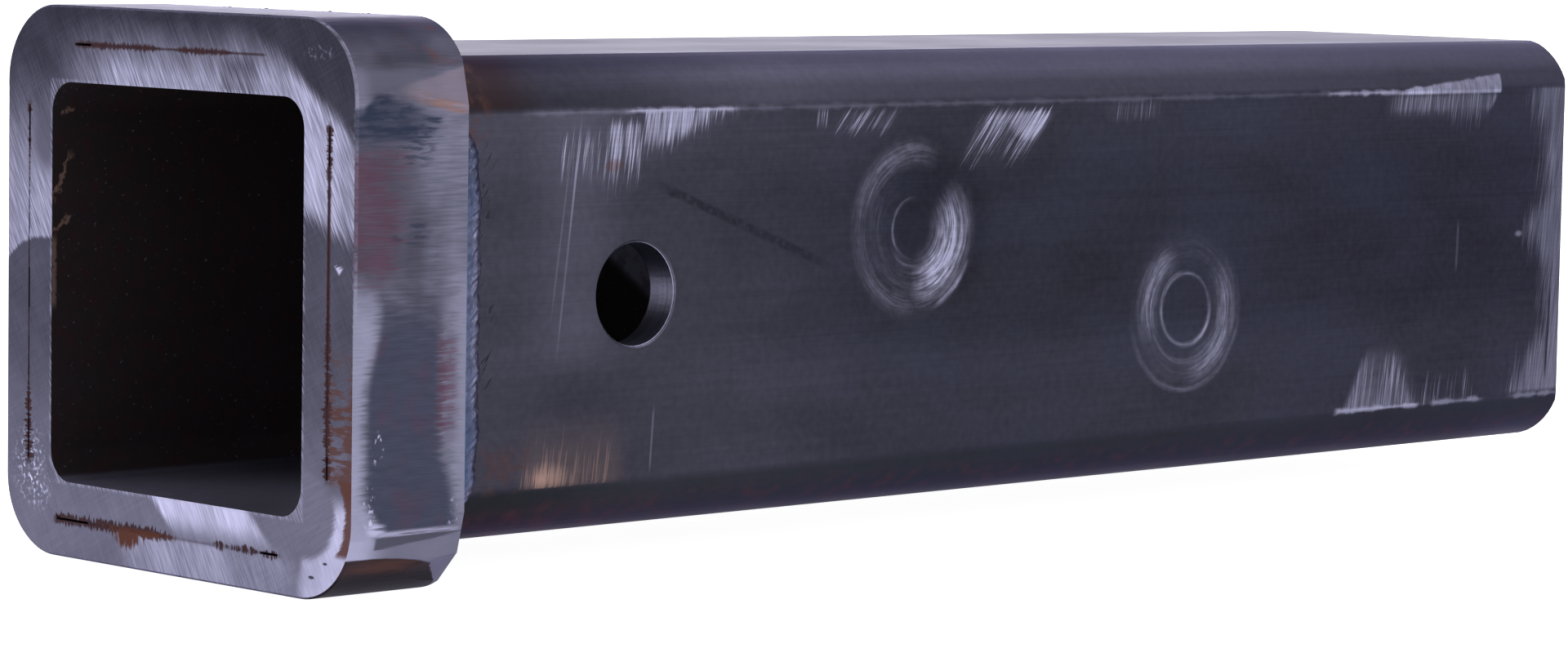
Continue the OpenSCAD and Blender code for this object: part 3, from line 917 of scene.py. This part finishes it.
# heat colours: red bands, blue-black under the upper corner, pink and copper beside it
red_band = z.within(5, 25, 6) * y.over(15, 4)
red_fringe = y.within(16.5, 20.5, 2) * z.within(-19.5, -4, 4) * (wisps + ground).over(0.85, 1.1)
red = (red_band + ragged * 0.3 + (clouds - 0.5) * 1.6).over(0.1, 1.3) * red_band.over(0, 0.3)
red = red.most(red_fringe).most(hollow * clouds.over(0.55, 0.75) * 0.5)
side_colour = side_colour.tinted(HOLLOW_BLUE, hollow * 0.35)
side_colour = side_colour.tinted(HEAT_RED, red * (0.35 + wisps * 0.5))
patch_top = past(y, z, (18.5, 29.2), (3, 34.0)) + (wisps - 0.5) * 1.6
torn = (17 - y - (31 - z).most(0.0) * 0.5 + ragged * 2.0).over(-2.5, 2.5)
patch_rim = (z - 33.6 + y.over(5, 1) * 2.4).over(0.3, -0.8)
black_patch = patch_top.over(-0.3, 1.0) * z.over(24, 27.5) * torn * patch_rim
side_colour = side_colour.tinted(HEAT_BLACK, black_patch * (0.6 + wisps.over(0.4, 0.6) * 0.35))
dark_strokes = grain(collar_point, (3, 3.4, 0.55), seed=55).over(0.5, 0.62)
stroked = blot(y, z, (11, 12), (5, 2.4)).over(0, 0.5).most(blot(y, z, (12, 25), (5, 4)).over(0, 0.5))
side_colour = side_colour.tinted(HEAT_BLACK, dark_strokes * stroked * 0.6)
wedge_low = past(y, z, (6, 33.8), (22.5, 30.0)) + (wisps - 0.5) * 1.2
wedge_high = past(y, z, (22.3, 37.2), (6, 33.8)) + (wisps - 0.5) * 0.8
pink_wedge = wedge_low.over(-0.3, 0.8) * wedge_high.over(-0.2, 0.6) * y.over(6, 15)
side_colour = side_colour.tinted(HEAT_PINK, pink_wedge * (0.45 + clouds * 0.5))
copper = wedge_low.within(-0.4, 1.2, 1.0) * y.over(22.8, 21)
copper = copper.most(scratch(y, z, (10, 34), (21, 31.5), 0.5) * 0.7)
side_colour = side_colour.tinted(HEAT_COPPER, copper * y.over(8, 17) * wisps.over(0.3, 0.6) * 0.6)
rusty = grain(collar_point, (3, 2.2, 2), seed=56, detail=3)
upper_rust = z.over(36.5, 39) * rusty.over(0.54, 0.68) * (y.over(12, 19) * 0.7 + 0.15)
side_colour = side_colour.tinted(ORANGE_RUST, upper_rust * 0.45)
side_metal = 1 - brown * 0.3
side_collar = surface(side_colour, side_metal, collar_rough.toward(0.55, brown), ground, COLLAR_RELIEF)

on_right_side = x.over(collar_half_mm - COLLAR_SIDE_FROM_MM, collar_half_mm - COLLAR_SIDE_FULL_MM)
collar_skin = covered(plain_collar, side_collar, on_right_side)
show(covered(collar_skin, mouth_plane(collar_point), on_mouth_plane(collar_point)))
dress("mouth_collar", collar_finish)

# The rear welds: a fillet bead behind the collar on each flat side of the tube, laid in short
# overlapping ripples. The bead and its toes have run blue in the heat.
BEAD_FINENESS = 0.0003
BEAD_RELIEF = 0.00003
BEAD_TONE = 96
BEAD_HIGHLIGHT_TONE = 160
SAME_POINT_MM = 0.002
RIPPLE_BOW = 0.06
FINE_RIPPLE_MM = 1.6
FINE_RIPPLE_RISE_MM = 0.07
WELD_BLUE = srgb(86, 98, 126)
WELD_DEEP_BLUE = srgb(44, 60, 88)
WELD_STRAW = srgb(140, 122, 104)
bead_finish, bead_point = start_finish("weld_bead")
x, y, z = bead_point.parts()
beads = grain(bead_point, (2.5, 2.5, 2.5), seed=61)
fine = grain(bead_point, (0.7, 0.7, 0.7), seed=62)
middle = (abs(abs(x) - abs(z)) / tube_half_mm).over(0.55, 0.9)
bead_tone = BEAD_TONE + middle * 22 + (beads - 0.5) * 50 + (fine - 0.5) * 40
# bright flecks, painted highlights on the bead's ripples
bead_tone = bead_tone.toward(BEAD_HIGHLIGHT_TONE, fine.over(0.58, 0.68) * 0.6)
bead_colour = steel(bead_tone).tinted(WELD_BLUE, beads.over(0.3, 0.6) * (0.7 - middle * 0.45))
collar_toe = abs(x).most(abs(z)) - y + collar_len_mm - tube_half_mm
bead_colour = bead_colour.tinted(WELD_DEEP_BLUE, collar_toe.over(3, 5.5) * 0.7)
bead_colour = bead_colour.tinted(WELD_STRAW, beads.over(0.34, 0.26) * 0.3)
bead_rough = 0.34 + (fine - 0.5) * 0.2
show(surface(bead_colour, 1.0, bead_rough, fine, BEAD_RELIEF))


def ripple_bead(node, quarter_turn):
    """Shows a node's own bead with the fine ripples of the arc raised on its face."""
    upright = Matrix.Rotation(quarter_turn * math.pi / 2, 3, "Y")
    build = bmesh.new()
    build.from_mesh(nodes[node].data)
    bmesh.ops.remove_doubles(build, verts=build.verts, dist=SAME_POINT_MM * MM)
    coarse = bpy.data.meshes.new(node + "_coarse")
    build.to_mesh(coarse)
    build.free()
    piece = bpy.data.objects.new(node + "_bead", coarse)
    scene.collection.objects.link(piece)
    remesh = piece.modifiers.new("even_skin", "REMESH")
    remesh.mode = "VOXEL"
    remesh.voxel_size = BEAD_FINENESS
    shown_piece = piece.evaluated_get(bpy.context.evaluated_depsgraph_get())
    piece.data = bpy.data.meshes.new_from_object(shown_piece)
    piece.modifiers.clear()
    build = bmesh.new()
    build.from_mesh(piece.data)
    for vert in build.verts:
        place = upright @ vert.co / MM
        across = (place.x - tube_half_mm) - (place.y - collar_len_mm)
        wander = noise.noise(Vector((place.z * 0.35, across * 0.2, quarter_turn))) * 0.5
        phase = (place.z + across * across * RIPPLE_BOW) / FINE_RIPPLE_MM + wander
        face_share = min(1.0, max(0.0, (upright @ vert.normal).dot(Vector((0.7, 0.7, 0.0))) * 1.6))
        lift = math.cos(phase * 2 * math.pi) * FINE_RIPPLE_RISE_MM * face_share
        vert.co += vert.normal * lift * MM
    build.to_mesh(piece.data)
    build.free()
    piece.data.polygons.foreach_set("use_smooth", [True] * len(piece.data.polygons))
    piece.data.materials.clear()
    piece.data.materials.append(bead_finish)
    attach(piece, BODY)
    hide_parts(node)


for quarter_turn, side in enumerate(("right", "bottom", "left", "top")):
    ripple_bead("rear_weld_" + side, -quarter_turn)
